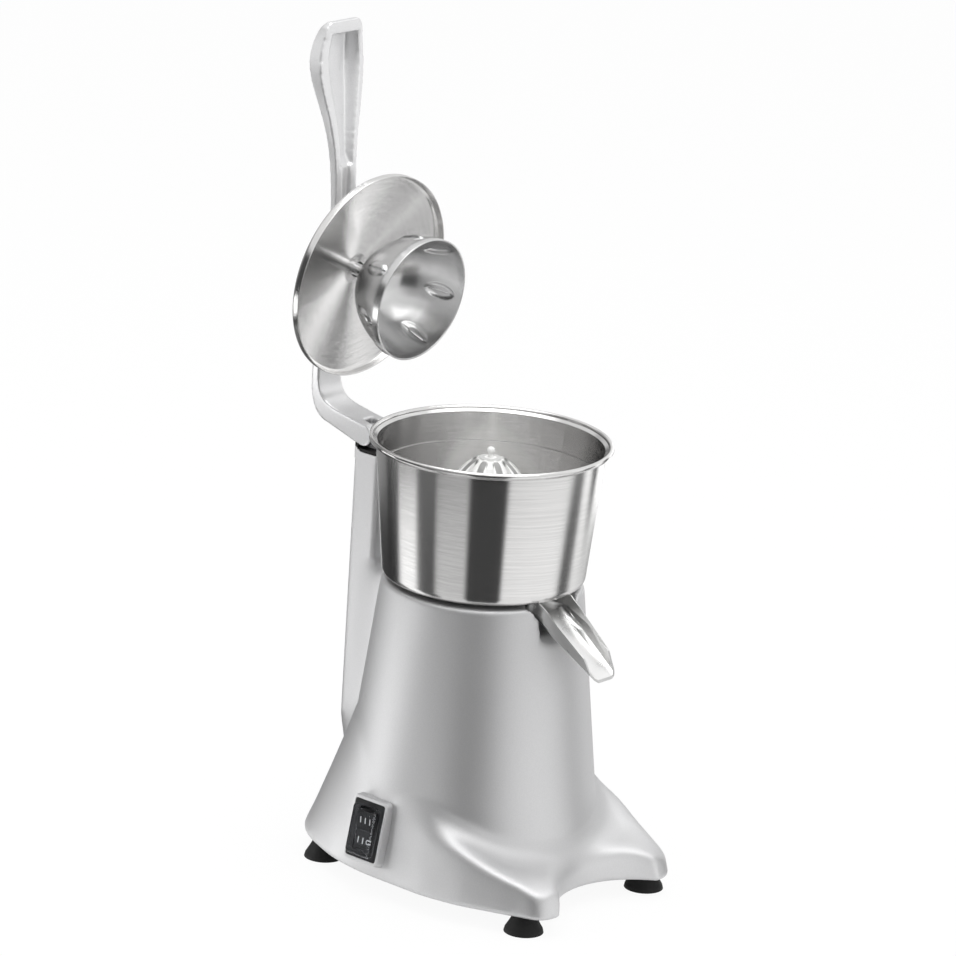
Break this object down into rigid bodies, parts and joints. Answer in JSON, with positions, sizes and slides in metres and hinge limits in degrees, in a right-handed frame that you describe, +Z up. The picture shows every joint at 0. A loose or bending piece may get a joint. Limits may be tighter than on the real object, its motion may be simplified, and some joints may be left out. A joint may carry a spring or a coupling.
{
  "type": "electric lever citrus juicer",
  "caption": "Electric citrus juicer: a motor in a tapered painted body turns a ribbed cone in a steel bowl, and a hinged lever lowers a press cup with a splash disc; juice leaves by a spout.",
  "frame": {"origin": "middle of the outer box at the level of the feet's undersides", "axes": "+Z up, -Y to the front where the spout is, -X to the side with the switch"},
  "size_m": [0.2494, 0.3544, 0.6835],
  "materials": {
    "paint": "casting with satin silver-grey paint",
    "lever_paint": "casting with satin pale silver paint",
    "rubber": "matt black",
    "brushed": "brushed",
    "polished": "polished",
    "steel": "plain",
    "lamination": "stacked sheet",
    "copper": "varnished wire",
    "cast": "cast",
    "white_plastic": "smooth white",
    "black_plastic": "black",
    "clear": "clear flexible cover",
    "capacitor_case": "pale case"
  },
  "bodies": {
    "machine": {"housing": "paint", "foot_1": "rubber", "foot_2": "rubber", "foot_3": "rubber", "foot_4": "rubber", "stop_pad": "rubber", "bowl_gasket": "rubber", "shaft_seal": "rubber", "bowl": "brushed", "strainer": "brushed", "spout": "polished", "base_plate": "steel", "base_screw_1": "steel", "base_screw_2": "steel", "base_screw_3": "steel", "foot_bolt_1": "steel", "foot_bolt_2": "steel", "foot_bolt_3": "steel", "foot_bolt_4": "steel", "tie_bolt_1": "steel", "tie_bolt_2": "steel", "tie_bolt_3": "steel", "motor_screw_1": "steel", "motor_screw_2": "steel", "motor_screw_3": "steel", "bearing_lower": "steel", "bearing_upper": "steel", "motor_stator": "lamination", "winding_upper": "copper", "winding_lower": "copper", "shield_lower": "cast", "shield_upper": "cast", "terminal_block": "white_plastic", "switch_frame": "black_plastic", "switch_body": "black_plastic", "cable_gland": "black_plastic", "switch_boot": "clear", "capacitor": "capacitor_case"},
    "lever": {"lever_arm": "lever_paint", "pivot_pin": "polished", "press_rod": "polished", "splash_disc": "brushed", "press_cup": "polished", "cup_button": "polished"},
    "drive": {"motor_shaft": "steel", "rotor": "lamination", "fan": "black_plastic", "cone": "white_plastic"},
    "rocker_body": {"rocker": "black_plastic"}
  },
  "joints": [
    {"name": "lever_hinge", "type": "hinge", "parent": "machine", "child": "lever", "pos_m": [0, 0.10619, 0.346], "axis": [1, 0, 0], "range_deg": [0, 82]},
    {"name": "cone_spin", "type": "hinge", "parent": "machine", "child": "drive", "pos_m": [0, -0.02131, 0.3], "axis": [0, 0, 1], "continuous": true},
    {"name": "switch_rock", "type": "hinge", "parent": "machine", "child": "rocker_body", "pos_m": [-0.10905, -0.00931, 0.05348], "axis": [0, 1, 0], "range_deg": [0, 12]}
  ]
}
